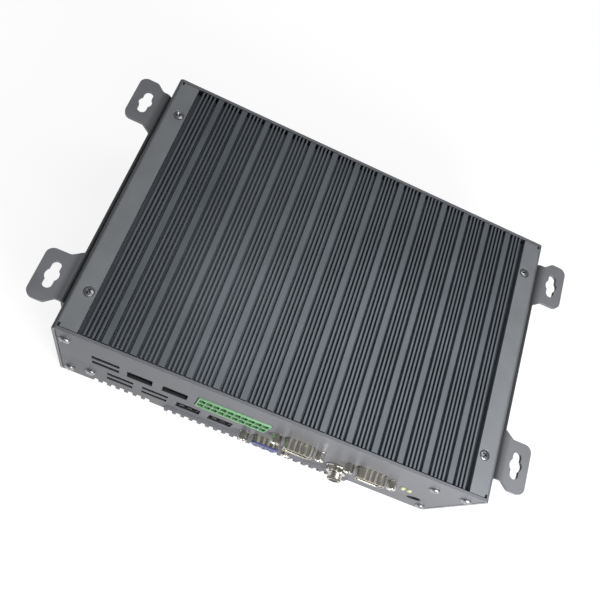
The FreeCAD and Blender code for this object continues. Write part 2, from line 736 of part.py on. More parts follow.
def make_dsub(name, place, base, shell, male):
    """Flange and shell of one piece, the insulator behind them and, in a male one, its pins."""
    x, z = across(place), base + dsub_level
    flange_top = (dsub_flange[0], dsub_sheet, dsub_flange[1])
    plate = centred(flange_top, x, wall_inside, z - dsub_flange[1] / 2)
    reach = shell[2] + dsub_sheet
    collar = d_shape(shell[0], shell[1], x, wall_inside + dsub_sheet - reach, z, reach)
    opening = d_shape(shell[0] - 2 * dsub_wall, shell[1] - 2 * dsub_wall, x,
                      wall_inside + dsub_sheet - reach - past, z, reach + 2 * past)
    body = centred(dsub_body, x, wall_inside + dsub_sheet, base)
    snug = 2 * (dsub_wall + mould_gap)
    nose_reach = dsub_male_nose if male else reach + mould_gap
    root = wall_inside + dsub_sheet - nose_reach
    nose = d_shape(shell[0] - snug, shell[1] - snug, x, root, z, nose_reach + past)
    metal = plate.fuse(collar).cut(opening)
    for side in (-1, 1):
        metal = metal.cut(bore(m3 / 2 + screw_clearance, dsub_sheet + past,
                               x + side * dsub_spacing / 2, wall_inside, z))
    if male:
        metal = metal.cut(group(dents(shell, x, wall_inside + dsub_sheet - reach, z)))
    parts[name + "_shell"] = metal.removeSplitter()
    insulator = body.fuse(nose)
    if male:
        spots = dsub_pins(x, root, z, (5, 4), pin_pitch, pin_row_spacing)
        parts[name + "_pins"] = group([rod(pin_radius, pin_reach, spot, (0, -1, 0))
                                       for spot in spots])
    else:
        face = root - female_face
        insulator = insulator.fuse(d_shape(shell[0], shell[1], x, face, z, female_face))
        spots = dsub_pins(x, face, z, (5, 5, 5), socket_pitch, socket_row_spacing)
        insulator = insulator.cut(group([bore(pin_radius, socket_depth, *spot)
                                         for spot in spots]))
    parts[name + "_insulator"] = insulator.removeSplitter()


def make_jack_screw(x, z):
    """A hexagonal jack screw with its threaded bore, its stem through wall and flange."""
    head = hexagon(jack_hex, jack_reach, (x, front - jack_reach, z), (0, 1, 0))
    stem = rod(m3 / 2, sheet + dsub_sheet + jack_tail, (x, front, z), (0, 1, 0))
    return head.fuse(stem).cut(bore(jack_bore / 2, jack_bore_depth, x, front - jack_reach, z))


def make_terminal():
    """A two-storey green header with an open chamber and a pin for every pole."""
    x = across(terminal_place)
    face = front - terminal_rise
    housing = centred(terminal_size, x, face, mainboard_level)
    chambers = []
    pins = []
    for row in terminal_rows:
        for pole in range(terminal_poles):
            px = x + (pole - (terminal_poles - 1) / 2) * terminal_pitch
            z = mainboard_level + row
            size = (terminal_hole[0], terminal_hole_depth, terminal_hole[1])
            chambers.append(pocket(size, px, face, z - terminal_hole[1] / 2))
            pin = (terminal_pin, terminal_hole_depth - terminal_pin_recess, terminal_pin)
            pins.append(centred(pin, px, face + terminal_pin_recess, z - terminal_pin / 2))
    parts["terminal_header"] = housing.cut(group(chambers))
    parts["terminal_pins"] = group(pins)


def make_antenna():
    """A threaded bulkhead connector with its washer and nut in front of the wall."""
    x, z = across(antenna_place), antenna_level
    tip = front - antenna_reach
    barrel = rod(antenna_radius, antenna_reach + sheet, (x, tip, z), (0, 1, 0))
    shoulder = rod(*antenna_shoulder, (x, wall_inside, z), (0, 1, 0))
    tail = rod(*antenna_tail, (x, wall_inside, z), (0, 1, 0))
    body = barrel.fuse([shoulder, tail])
    parts["antenna_connector"] = body.cut(bore(*antenna_mouth, x, tip, z))
    radius, thickness = antenna_washer
    washer = rod(radius, thickness, (x, front - thickness, z), (0, 1, 0))
    nut = hexagon(antenna_nut_flats, antenna_nut, (x, front - thickness - antenna_nut, z),
                  (0, 1, 0))
    thread = bore(antenna_radius + thread_gap, antenna_reach, x, tip, z)
    parts["antenna_washer"] = washer.cut(thread)
    parts["antenna_nut"] = nut.cut(thread)


def make_power():
    """The supply jack behind its round window."""
    x, base = across(case_width - power_inset), io_board_level
    z = base + power_level
    housing = centred(power_size, x, port_face, base)
    parts["power_jack"] = housing.cut(bore(power_bore / 2, power_depth, x, port_face, z))
    parts["power_pin"] = rod(power_pin / 2, power_depth - power_pin_recess,
                             (x, port_face + power_pin_recess, z), (0, 1, 0))


def make_lamps():
    """Two light pipes that end in low domes in the front wall."""
    pipes = []
    for inset in lamp_insets:
        x = across(case_width - inset)
        pipe = rod(lamp_radius, sheet + lamp_tail, (x, front, lamp_level), (0, 1, 0))
        bulge = (lamp_radius ** 2 + lamp_rise ** 2) / (2 * lamp_rise)
        ball = Part.makeSphere(bulge, FreeCAD.Vector(x, front - lamp_rise + bulge, lamp_level))
        dome = ball.common(rod(lamp_radius, lamp_rise, (x, front - lamp_rise, lamp_level),
                               (0, 1, 0)))
        pipes.append(pipe.fuse(dome))
    return group(pipes)


# ---- inner pieces ----
def make_inner():
    cpu_y = cpu_back - cpu_size[1] / 2
    cpu_top = mainboard_level + cpu_size[2]
    parts["processor"] = centred(cpu_size, 0, cpu_y, mainboard_level)
    parts["thermal_pad"] = centred((cpu_size[0], cpu_size[1], pad), 0, cpu_y, cpu_top)
    block_bottom = cpu_top + pad
    height = lid_bottom - block_bottom
    column = centred((block_width, block_width, height), 0, cpu_back - block_width / 2,
                     block_bottom)
    screws = []
    for x, y in block_screw_spots():
        seat = block_bottom + pan_height + block_screw_sink
        column = column.cut(rod(pan_head / 2 + head_gap, seat - block_bottom,
                                (x, y, block_bottom), (0, 0, 1)))
        column = column.cut(screw_hole(x, y, block_bottom, (0, 0, 1), height))
        screws.append(pan_screw(x, y, seat, (0, 0, 1), lid_bottom - seat + block_screw_grip))
    parts["heat_block"] = column
    parts["heat_block_screws"] = group(screws)

    socket_front = cpu_back - memory_socket_size[1] / 2
    socket = centred(memory_socket_size, memory_place, socket_front, mainboard_level)
    socket_left = memory_place - memory_socket_size[0] / 2
    card_right = socket_left + memory_card_seat
    card_front = cpu_back - memory_card_size[1] / 2
    card_level = mainboard_level + memory_card_lift
    slot = block(socket_left - past, card_right, card_front - mould_gap,
                 card_front + memory_card_size[1] + mould_gap,
                 card_level - mould_gap, card_level + memory_card_size[2] + mould_gap)
    parts["memory_socket"] = socket.cut(slot)
    parts["memory_module"] = centred(memory_card_size, card_right - memory_card_size[0] / 2,
                                     card_front, card_level)

    parts["cell_holder"] = rod(cell_radius + cell_rim, cell_holder, (cell_place, cell_back, mainboard_level),
                               (0, 0, 1))
    parts["button_cell"] = rod(cell_radius, cell_height,
                               (cell_place, cell_back, mainboard_level + cell_holder), (0, 0, 1))
    make_drive()


def make_drive():
    """A flat drive on a folded cradle that stands on the tray's bottom."""
    bottom = sheet + drive_lift
    drive_front = drive_back - drive_size[1] / 2
    drive = centred(drive_size, drive_place, drive_front, bottom)
    half = drive_size[0] / 2 + drive_gap + drive_wall
    level = bottom + drive_size[2]
    path = [(drive_place - half, level), (drive_place - half, sheet),
            (drive_place + half, sheet), (drive_place + half, level)]
    cradle = folded(path, drive_wall, bend_inner, "XZ", drive_front, drive_size[1])
    pad_size = (*drive_pad, drive_lift - drive_wall)
    pad_reach = half - drive_wall - drive_pad_inset
    pads = []
    screws = []
    for side in (-1, 1):
        for end in (-1, 1):
            y = drive_back + end * drive_screw_spacing / 2
            z = bottom + drive_size[2] / 2
            head = drive_place + side * half
            screws.append(pan_screw(head, y, z, (-side, 0, 0), drive_screw_length))
            hole = screw_hole(head + side * past, y, z, (-side, 0, 0),
                              drive_screw_length + past + tip_gap)
            drive = drive.cut(hole)
            cradle = cradle.cut(hole)
            pads.append(centred(pad_size, drive_place + side * pad_reach, y - drive_pad[1] / 2,
                                sheet + drive_wall))
    parts["storage_drive"] = drive
    parts["drive_cradle"] = cradle.fuse(pads).removeSplitter()
    parts["drive_screws"] = group(screws)


# ---- assembly ----
io_board_reach = board_width / 2 - io_post_side
stack_spots = post_spots(io_board_reach, [connector_room])
io_rear_spots = post_spots(io_board_reach, [io_board_depth - post_inset])
tall_spots = post_spots(board_width / 2 - post_side,
                        [io_board_depth + post_inset, mainboard_depth - post_inset])
mainboard_spots = stack_spots + tall_spots
io_board_spots = stack_spots + io_rear_spots

parts["finned_lid"] = make_lid()
parts["side_panel_left"] = make_side_panel(-1)
parts["side_panel_right"] = make_side_panel(1)
parts["base_tray"] = make_tray()
parts["wall_bracket_left"] = make_bracket(-1)
parts["wall_bracket_right"] = make_bracket(1)
parts["lid_screws"] = group([flat_screw(x, y, case_height, (0, 0, -1), lid_screw_length)
                             for x, y in lid_screw_spots])
parts["base_screws"] = group([flat_screw(x, y, 0, (0, 0, 1), 2 * sheet + base_screw_tail)
                              for x, y in base_screw_spots])
parts["front_screws"] = group([pan_screw(x, front, z, (0, 1, 0), panel_screw_length)
                               for x, z in corner_screw_spots + loose_screw_spots])
parts["rear_screws"] = group([pan_screw(x, half_depth, z, (0, -1, 0), panel_screw_length)
                              for x, z in corner_screw_spots])
parts["bracket_screws"] = group([
    pan_screw(side * (half_width + bracket_sheet), y, bracket_screw_level, (-side, 0, 0),
              panel_screw_length) for side in (-1, 1) for y in bracket_screw_rows])

parts["mainboard"] = make_board(board_width, mainboard_depth, mainboard_under,
                                mainboard_spots)
parts["io_board"] = make_board(board_width, io_board_depth, io_board_under, io_board_spots)
parts["mainboard_standoffs"] = make_posts(tall_spots, sheet, mainboard_under)
parts["stack_standoffs"] = make_posts(stack_spots, io_board_level, mainboard_under, stud=True)
parts["io_board_standoffs"] = make_posts(io_board_spots, sheet, io_board_under)
parts["board_screws"] = group(
    [pan_screw(x, y, mainboard_level, (0, 0, -1), panel_screw_length) for x, y in mainboard_spots]
    + [pan_screw(x, y, io_board_level, (0, 0, -1), panel_screw_length) for x, y in io_rear_spots])

for number, (level, place) in enumerate(usb_places, 1):
    make_usb(number, level, place)
for number, (level, place) in enumerate(lan_places, 1):
    make_lan(number, level, place)
for number, place in enumerate(com_places, 1):
    make_dsub("com_port_%d" % number, place, mainboard_level, male_shell, True)
make_dsub("video_port", vga_place, io_board_level, female_shell, False)
parts["jack_screws"] = group([
    make_jack_screw(across(place) + side * dsub_spacing / 2, base + dsub_level)
    for place, base, shell in dsub_list() for side in (-1, 1)])
make_terminal()
make_antenna()
make_power()
parts["lamps"] = make_lamps()
make_inner()

os.makedirs("parts", exist_ok=True)
for name, shape in parts.items():
    shape.exportStep("parts/%s.step" % name)
print(len(parts), "sub-parts written")
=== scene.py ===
import json
import math
import bpy
import bmesh
from mathutils import Matrix, Vector


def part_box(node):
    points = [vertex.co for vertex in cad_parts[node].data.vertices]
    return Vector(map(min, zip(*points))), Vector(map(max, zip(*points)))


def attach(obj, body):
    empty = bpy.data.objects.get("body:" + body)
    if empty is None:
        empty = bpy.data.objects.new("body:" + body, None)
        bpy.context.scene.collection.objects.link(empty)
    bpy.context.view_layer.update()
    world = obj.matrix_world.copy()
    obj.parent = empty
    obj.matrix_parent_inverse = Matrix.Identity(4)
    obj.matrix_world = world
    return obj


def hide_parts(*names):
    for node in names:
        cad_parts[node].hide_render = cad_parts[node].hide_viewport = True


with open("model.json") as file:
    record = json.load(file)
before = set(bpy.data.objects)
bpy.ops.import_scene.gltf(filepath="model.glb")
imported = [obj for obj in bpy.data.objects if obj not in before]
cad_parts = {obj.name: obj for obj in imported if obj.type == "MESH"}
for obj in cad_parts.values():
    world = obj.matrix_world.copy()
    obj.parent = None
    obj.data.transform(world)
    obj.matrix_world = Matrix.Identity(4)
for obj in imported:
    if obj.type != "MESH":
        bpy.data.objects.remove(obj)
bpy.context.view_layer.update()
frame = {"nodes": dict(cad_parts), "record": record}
nodes = frame["nodes"]
mm = 0.001
print("frame loaded,", len(nodes), "nodes")


def linear(hexColour, shade=1.0):
    # sRGB hex to the linear colour that shaders take, made lighter or darker by shade
    shares = [int(hexColour[i:i + 2], 16) / 255 for i in (1, 3, 5)]
    return [*(shade * (c / 12.92 if c <= 0.04045 else ((c + 0.055) / 1.055) ** 2.4)
              for c in shares), 1]


def tints(look, low, high):
    # the colour ramp's two stops: the look's colour times its lower and its upper tint
    return [(position, linear(look["colour"], shade))
            for position, shade in zip((low, high), look["tint"])]


def sheens(look, low, high):
    # two stops that take the roughness from a little under to a little over the look's own
    return [(position, [look["roughness"] + change] * 3 + [1])
            for position, change in zip((low, high), look["sheen"])]


def addNode(tree, kind, settings=None, inputs=None):
    # an input is a plain value or the output of another node, stops are those of a colour ramp
    node = tree.nodes.new(kind)
    for name, value in (settings or {}).items():
        if name == "stops":
            for element, (position, colour) in zip(node.color_ramp.elements, value):
                element.position, element.color = position, colour
        else:
            setattr(node, name, value)
    for name, value in (inputs or {}).items():
        if isinstance(value, bpy.types.NodeSocket):
            tree.links.new(value, node.inputs[name])
        else:
            node.inputs[name].default_value = value
    return node


def startMaterial(name, look):
    # what is the same all over a surface stands on its own sockets
    material = bpy.data.materials.new(name)
    material.use_nodes = True
    tree = material.node_tree
    tree.nodes.clear()
    surface = addNode(tree, "ShaderNodeBsdfPrincipled", None, {
        "Base Color": linear(look["colour"]), "Metallic": look.get("metallic", 0.0),
        "Roughness": look["roughness"], "Specular IOR Level": look.get("specular", 0.5),
        "Transmission Weight": look.get("clear", 0.0)})
    addNode(tree, "ShaderNodeOutputMaterial", None, {"Surface": surface.outputs["BSDF"]})
    place = addNode(tree, "ShaderNodeTexCoord").outputs["Object"]
    return material, tree, surface, place


def shadeInside(tree, place, colour, look):
    # painted shade: darker behind the outer skin, which is a node's box with edges rounded by the
    # fold and its front set back behind what stands proud of it
    low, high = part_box(look["insideNode"])
    low = low + Vector((0, look["proud"] * mm, 0))
    fold = look["fold"] * mm
    offset = addNode(tree, "ShaderNodeVectorMath", {"operation": "SUBTRACT"},
                     {0: place, 1: (low + high) / 2})
    span = addNode(tree, "ShaderNodeVectorMath", {"operation": "ABSOLUTE"},
                   {0: offset.outputs["Vector"]})
    past = addNode(tree, "ShaderNodeVectorMath", {"operation": "SUBTRACT"},
                   {0: span.outputs["Vector"], 1: (high - low) / 2 - Vector((fold, fold, fold))})
    beyond = addNode(tree, "ShaderNodeVectorMath", {"operation": "MAXIMUM"},
                     {0: past.outputs["Vector"], 1: (0, 0, 0)})
    reach = addNode(tree, "ShaderNodeVectorMath", {"operation": "LENGTH"},
                    {0: beyond.outputs["Vector"]})
    shade = addNode(tree, "ShaderNodeMapRange", None, {
        "Value": reach.outputs["Value"], "From Min": fold - look["insideReach"] * mm,
        "From Max": fold - 0.03 * mm, "To Min": look["insideShade"], "To Max": 1.0})
    shaded = addNode(tree, "ShaderNodeVectorMath", {"operation": "SCALE"},
                     {"Vector": colour, "Scale": shade.outputs["Result"]})
    return shaded.outputs["Vector"]


def shadeFold(tree, place, colour, look):
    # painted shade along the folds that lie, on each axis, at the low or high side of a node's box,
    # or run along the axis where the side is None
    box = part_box(look["foldNode"])
    across = Vector([0 if side is None else 1 for side in look["foldSides"]])
    corner = Vector([0 if side is None else abs(box[side][axis])
                     for axis, side in enumerate(look["foldSides"])])
    span = addNode(tree, "ShaderNodeVectorMath", {"operation": "ABSOLUTE"}, {0: place})
    offset = addNode(tree, "ShaderNodeVectorMath", {"operation": "SUBTRACT"},
                     {0: span.outputs["Vector"], 1: corner})
    flat = addNode(tree, "ShaderNodeVectorMath", {"operation": "MULTIPLY"},
                   {0: offset.outputs["Vector"], 1: across})
    away = addNode(tree, "ShaderNodeVectorMath", {"operation": "LENGTH"},
                   {0: flat.outputs["Vector"]})
    shade = addNode(tree, "ShaderNodeMapRange", {"interpolation_type": "SMOOTHSTEP"}, {
        "Value": away.outputs["Value"], "From Min": look["foldStart"] * mm,
        "From Max": look["foldReach"] * mm, "To Min": look["foldShade"], "To Max": 1.0})
    shaded = addNode(tree, "ShaderNodeVectorMath", {"operation": "SCALE"},
                     {"Vector": colour, "Scale": shade.outputs["Result"]})
    return shaded.outputs["Vector"]


# extruded aluminium with a dark anodised skin: a dull sheen and fine lines drawn along the fins;
# the grooves get painted light that grows towards the right, and a little painted shade at the left
lidLook = {"colour": "#6c7278", "tint": (0.86, 1.1), "metallic": 0.55, "roughness": 0.42,
           "sheen": (-0.05, 0.07), "lineWidth": 0.35, "lineStretch": 0.012, "lineShare": 0.6,
           "cloudSize": 30.0, "relief": 0.004, "paintedLightTop": 77.9, "paintedLightFloor": 76.1, "dustAndPaintedLight": 2.0,
           "leftPaintedShadeTo": -60.0, "paintedLightFrom": 25.0, "leftPaintedShade": 0.85, "borderFrom": 97.9,
           "borderBlend": 0.4}


def anodisedAluminium(look):
    material, tree, surface, place = startMaterial("anodisedAluminium", look)
    along = addNode(tree, "ShaderNodeMapping", None,
                    {"Vector": place, "Scale": (1, look["lineStretch"], 1)})
    drawn = addNode(tree, "ShaderNodeTexNoise", None, {
        "Vector": along.outputs["Vector"], "Scale": 1 / (look["lineWidth"] * mm), "Detail": 4})
    cloud = addNode(tree, "ShaderNodeTexNoise", None,
                    {"Vector": place, "Scale": 1 / (look["cloudSize"] * mm), "Detail": 3})
    both = addNode(tree, "ShaderNodeMath", {"operation": "MULTIPLY_ADD"},
                   {0: drawn.outputs["Fac"], 1: look["lineShare"], 2: cloud.outputs["Fac"]})
    colour = addNode(tree, "ShaderNodeValToRGB",
                     {"stops": tints(look, 0.5, 1.0)}, {"Fac": both.outputs[0]})
    level = addNode(tree, "ShaderNodeSeparateXYZ", None, {"Vector": place})
    # painted light and shade for the grooves: a little darker at the left, much lighter towards the
    # right, none past the right border channel
    side = addNode(tree, "ShaderNodeMapRange", None, {
        "Value": level.outputs["X"], "From Min": look["leftPaintedShadeTo"] * mm,
        "From Max": look["paintedLightFrom"] * mm, "To Min": look["leftPaintedShade"], "To Max": look["dustAndPaintedLight"]})
    most = addNode(tree, "ShaderNodeMapRange", None, {
        "Value": level.outputs["X"], "From Min": look["borderFrom"] * mm,
        "From Max": (look["borderFrom"] + look["borderBlend"]) * mm,
        "To Min": side.outputs["Result"], "To Max": 1.0})
    # painted light: the flanks and floors of the grooves, below the fin tops, take that factor
    dustAndPaintedLight = addNode(tree, "ShaderNodeMapRange", {"interpolation_type": "SMOOTHSTEP"}, {
        "Value": level.outputs["Z"], "From Min": look["paintedLightFloor"] * mm,
        "From Max": look["paintedLightTop"] * mm, "To Min": most.outputs["Result"], "To Max": 1.0})
    paintedGrooveLight = addNode(tree, "ShaderNodeVectorMath", {"operation": "SCALE"},
                     {"Vector": colour.outputs["Color"], "Scale": dustAndPaintedLight.outputs["Result"]})
    tree.links.new(paintedGrooveLight.outputs["Vector"], surface.inputs["Base Color"])
    rough = addNode(tree, "ShaderNodeValToRGB",
                    {"stops": sheens(look, 0.3, 0.7)}, {"Fac": drawn.outputs["Fac"]})
    tree.links.new(rough.outputs["Color"], surface.inputs["Roughness"])
    bump = addNode(tree, "ShaderNodeBump", None,
                   {"Height": drawn.outputs["Fac"], "Distance": look["relief"] * mm})
    tree.links.new(bump.outputs["Normal"], surface.inputs["Normal"])
    return material


# powder coat on folded steel: satin, its orange peel breaks up the highlights a little, with
# painted shade along the folds and, on the front tray, on cut edges and everything behind its outer
# skin
coatLook = {"tint": (0.94, 1.05), "sheen": (-0.03, 0.05), "dustSize": 14.0}
caseLooks = {
    "powderCoatFront": {"colour": "#78797e", "roughness": 0.34, "specular": 0.05,
                        "peelSize": 1.6, "relief": 0.002, "insideNode": "base_tray", "proud": 1.4,
                        "fold": 2.3, "insideReach": 0.4, "insideShade": 0.2,
                        "foldNode": "base_tray", "foldSides": (None, 0, 0), "foldStart": 0.8,
                        "foldReach": 4.5, "foldShade": 0.4},
    "powderCoatSide": {"colour": "#828589", "roughness": 0.4, "specular": 0.4,
                       "peelSize": 1.3, "relief": 0.006, "foldNode": "side_panel_right",
                       "foldSides": (1, None, 1), "foldStart": 0.5, "foldReach": 2.6,
                       "foldShade": 0.35},
    "powderCoatBracket": {"colour": "#7c7e82", "roughness": 0.4, "specular": 0.4,
                          "peelSize": 1.3, "relief": 0.006, "foldNode": "wall_bracket_right",
                          "foldSides": (0, None, 1), "foldStart": 1.2, "foldReach": 6.5,
                          "foldShade": 0.38},
}


def powderCoat(name, look):
    material, tree, surface, place = startMaterial(name, look)
    peel = addNode(tree, "ShaderNodeTexNoise", None,
                   {"Vector": place, "Scale": 1 / (look["peelSize"] * mm), "Detail": 1})
    # the dust mottle: a noise that shifts the tint and the roughness a little
    dustAndPaintedLight = addNode(tree, "ShaderNodeTexNoise", None,
                   {"Vector": place, "Scale": 1 / (look["dustSize"] * mm), "Detail": 5})
    colour = addNode(tree, "ShaderNodeValToRGB", {"stops": tints(look, 0.35, 0.65)},
                     {"Fac": dustAndPaintedLight.outputs["Fac"]}).outputs["Color"]
    # painted shade on cut edges and behind the outer skin
    if "insideNode" in look:
        colour = shadeInside(tree, place, colour, look)
    # painted shade along the folds
    colour = shadeFold(tree, place, colour, look)
    tree.links.new(colour, surface.inputs["Base Color"])
    rough = addNode(tree, "ShaderNodeValToRGB",
                    {"stops": sheens(look, 0.35, 0.65)}, {"Fac": dustAndPaintedLight.outputs["Fac"]})
    tree.links.new(rough.outputs["Color"], surface.inputs["Roughness"])
    bump = addNode(tree, "ShaderNodeBump", None,
                   {"Height": peel.outputs["Fac"], "Distance": look["relief"] * mm})
    tree.links.new(bump.outputs["Normal"], surface.inputs["Normal"])
    return material


# plated, stamped or milled metal: bright, with soft smudges from handling
metalLook = {"metallic": 1.0, "tint": (0.88, 1.0), "sheen": (-0.06, 0.08)}
metalLooks = {
    # bright and a little warm, for turned pieces that are screwed on
    "nickelPlatedSteel": {"colour": "#d2cfc8", "roughness": 0.2, "smudgeSize": 2.0},
    # grey and half matt, for pressed pan heads
    "zincPlatedSteel": {"colour": "#a9abae", "roughness": 0.34, "smudgeSize": 1.5},
    # a shade darker, for the countersunk screws
    "passivatedSteel": {"colour": "#a0a1a5", "roughness": 0.32, "smudgeSize": 1.5},
    # drawn shells, dipped: bright with matt runs side by side
    "tinPlatedSteel": {"colour": "#cbc7ba", "roughness": 0.2, "smudgeSize": 4.0,
                       "streakPitch": 3.1, "streak": 0.3, "streakBend": 2.0},
    # stamped shields, dark because they stand deep in their windows
    "stainlessSteel": {"colour": "#5f5d59", "roughness": 0.2, "smudgeSize": 4.0},
    # thin flash of gold on pins and springs: warm glints in dark mouths
    "goldPlatedBrass": {"colour": "#dcb869", "roughness": 0.24, "smudgeSize": 1.0},
    # cut and left bare: pale and half matt
    "milledAluminium": {"colour": "#c3c5c8", "roughness": 0.36, "smudgeSize": 5.0},
    # the processor's pressed lid: smooth, between steel and silver
    "stampedNickelSilver": {"colour": "#c9c9c7", "roughness": 0.26, "smudgeSize": 3.0},
}
waveLength = math.pi / 10  # between two bands of the wave texture at scale 1


def platedMetal(name, look):
    material, tree, surface, place = startMaterial(name, look)
    smudge = addNode(tree, "ShaderNodeTexNoise", None,
                     {"Vector": place, "Scale": 1 / (look["smudgeSize"] * mm), "Detail": 4})
    colour = addNode(tree, "ShaderNodeValToRGB",
                     {"stops": tints(look, 0.3, 0.7)}, {"Fac": smudge.outputs["Fac"]})
    tree.links.new(colour.outputs["Color"], surface.inputs["Base Color"])
    rough = addNode(tree, "ShaderNodeValToRGB", {"stops": sheens(look, 0.3, 0.7)},
                    {"Fac": smudge.outputs["Fac"]}).outputs["Color"]
    if "streak" in look:  # the matt runs catch more light than the rest
        runs = addNode(tree, "ShaderNodeTexWave", {"bands_direction": "X"}, {
            "Vector": place, "Scale": waveLength / (look["streakPitch"] * mm),
            "Distortion": look["streakBend"], "Detail": 1})
        matt = addNode(tree, "ShaderNodeValToRGB", {"stops": [
            (0.55, [0, 0, 0, 1]), (0.9, [look["streak"]] * 3 + [1])]},
            {"Fac": runs.outputs["Fac"]})
        rough = addNode(tree, "ShaderNodeVectorMath", {"operation": "ADD"},
                        {0: rough, 1: matt.outputs["Color"]}).outputs["Vector"]
    tree.links.new(rough, surface.inputs["Roughness"])
    return material


# injection moulded plastic: an even colour and the fine spark-eroded grain of the mould
plasticLook = {"tint": (0.92, 1.06), "flowSize": 6.0}
plasticLooks = {
    "blackPolyester": {"colour": "#151516", "roughness": 0.5, "specular": 0.3, "grain": 0.3,
                       "relief": 0.01},
    "tongueNylon": {"colour": "#23252a", "roughness": 0.4, "grain": 0.3, "relief": 0.008},
    # its chambers get painted shade
    "greenNylon": {"colour": "#86c28b", "roughness": 0.42, "grain": 0.4, "relief": 0.01,
                   "insideNode": "terminal_header", "proud": 0.3, "fold": 0.5,
                   "insideReach": 0.5, "insideShade": 0.42},
    "blueNylon": {"colour": "#52548a", "roughness": 0.42, "grain": 0.3, "relief": 0.008},
    "padSilicone": {"colour": "#9aa0a8", "roughness": 0.75, "grain": 0.5, "relief": 0.02},
    "driveCoat": {"colour": "#34363a", "roughness": 0.45, "grain": 0.5, "relief": 0.01},
}


def mouldedPlastic(name, look):
    material, tree, surface, place = startMaterial(name, look)
    grain = addNode(tree, "ShaderNodeTexNoise", None,
                    {"Vector": place, "Scale": 1 / (look["grain"] * mm), "Detail": 2})
    flow = addNode(tree, "ShaderNodeTexNoise", None,
                   {"Vector": place, "Scale": 1 / (look["flowSize"] * mm), "Detail": 3})
    colour = addNode(tree, "ShaderNodeValToRGB", {"stops": tints(look, 0.3, 0.7)},
                     {"Fac": flow.outputs["Fac"]}).outputs["Color"]
    # painted shade deep in the terminal's chambers
    if "insideNode" in look:
        colour = shadeInside(tree, place, colour, look)
    tree.links.new(colour, surface.inputs["Base Color"])
    bump = addNode(tree, "ShaderNodeBump", None,
                   {"Height": grain.outputs["Fac"], "Distance": look["relief"] * mm})
    tree.links.new(bump.outputs["Normal"], surface.inputs["Normal"])
    return material


# glass fibre board under green solder mask: satin, the copper shows through as paler fields
boardLook = {"colour": "#14462c", "copper": "#1d5c3a", "roughness": 0.35, "fieldSize": 4.8,
             "fieldEdge": (0.2, 0.3)}


def solderMask(look):
    material, tree, surface, place = startMaterial("solderMask", look)
    fields = addNode(tree, "ShaderNodeTexVoronoi", {"distance": "MANHATTAN"},
                     {"Vector": place, "Scale": 1 / (look["fieldSize"] * mm)})
    inner, outer = look["fieldEdge"]
    colour = addNode(tree, "ShaderNodeValToRGB", {"stops": [
        (inner, linear(look["copper"])), (outer, linear(look["colour"]))]},
        {"Fac": fields.outputs["Distance"]})
    tree.links.new(colour.outputs["Color"], surface.inputs["Base Color"])
    return material


# clear light pipe moulded in acrylic: pale, and light goes through it
lampLook = {"colour": "#dfe2b4", "roughness": 0.18, "sheen": (-0.05, 0.05), "clear": 0.15,
            "cloudSize": 0.8}


def clearAcrylic(look):
    material, tree, surface, place = startMaterial("clearAcrylic", look)
    cloud = addNode(tree, "ShaderNodeTexNoise", None,
                    {"Vector": place, "Scale": 1 / (look["cloudSize"] * mm), "Detail": 2})
    rough = addNode(tree, "ShaderNodeValToRGB",
                    {"stops": sheens(look, 0.3, 0.7)}, {"Fac": cloud.outputs["Fac"]})
    tree.links.new(rough.outputs["Color"], surface.inputs["Roughness"])
    return material


materials = {"anodisedAluminium": anodisedAluminium(lidLook), "solderMask": solderMask(boardLook),
             "clearAcrylic": clearAcrylic(lampLook)}
for make, common, looks in ((powderCoat, coatLook, caseLooks), (platedMetal, metalLook, metalLooks),
                            (mouldedPlastic, plasticLook, plasticLooks)):
    for name, look in looks.items():
        materials[name] = make(name, {**common, **look})

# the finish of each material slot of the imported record, with one exception for stamped shields
slotFinish = {
    "anodised_lid": "anodisedAluminium", "grey_panel": "powderCoatFront",
    "grey_side": "powderCoatSide", "grey_bracket": "powderCoatBracket",
    "nickel_screw": "zincPlatedSteel", "nickel_shell": "tinPlatedSteel",
    "gold_contact": "goldPlatedBrass", "power_contact": "nickelPlatedSteel",
    "black_insert": "blackPolyester", "dark_tongue": "tongueNylon", "blue_insert": "blueNylon",
    "green_terminal": "greenNylon", "lamp_plastic": "clearAcrylic", "board_green": "solderMask",
    "processor_lid": "stampedNickelSilver", "pad_grey": "padSilicone",
    "bare_aluminium": "milledAluminium", "drive_case": "driveCoat",
}
for part in frame["record"]["subparts"]:
    slots = nodes[part["node"]].data.materials
    slots.clear()
    shield = part["node"].startswith(("usb_shell", "lan_shield"))
    slots.append(materials["stainlessSteel" if shield else slotFinish[part["material_slot"]]])
print("materials on the CAD pieces")

weldDistance = 1e-6  # metres, joins the corners that neighbouring faces share


def solidBoxes(node):
    # lowest and highest corner of each solid of a CAD node, in metres, from the left
    welded = bmesh.new()
    welded.from_mesh(nodes[node].data)
    bmesh.ops.remove_doubles(welded, verts=welded.verts, dist=weldDistance)
    boxes, seen = [], set()
    for start in welded.verts:
        if start in seen:
            continue
        group, front = [], [start]
        seen.add(start)
        while front:
            vert = front.pop()
            group.append(vert.co.copy())
            for edge in vert.link_edges:
                other = edge.other_vert(vert)
                if other not in seen:
                    seen.add(other)
                    front.append(other)
        boxes.append((Vector([min(p[i] for p in group) for i in range(3)]),
                      Vector([max(p[i] for p in group) for i in range(3)])))
    welded.free()
    return sorted(boxes, key=lambda box: tuple(round(v, 5) for v in box[0]))


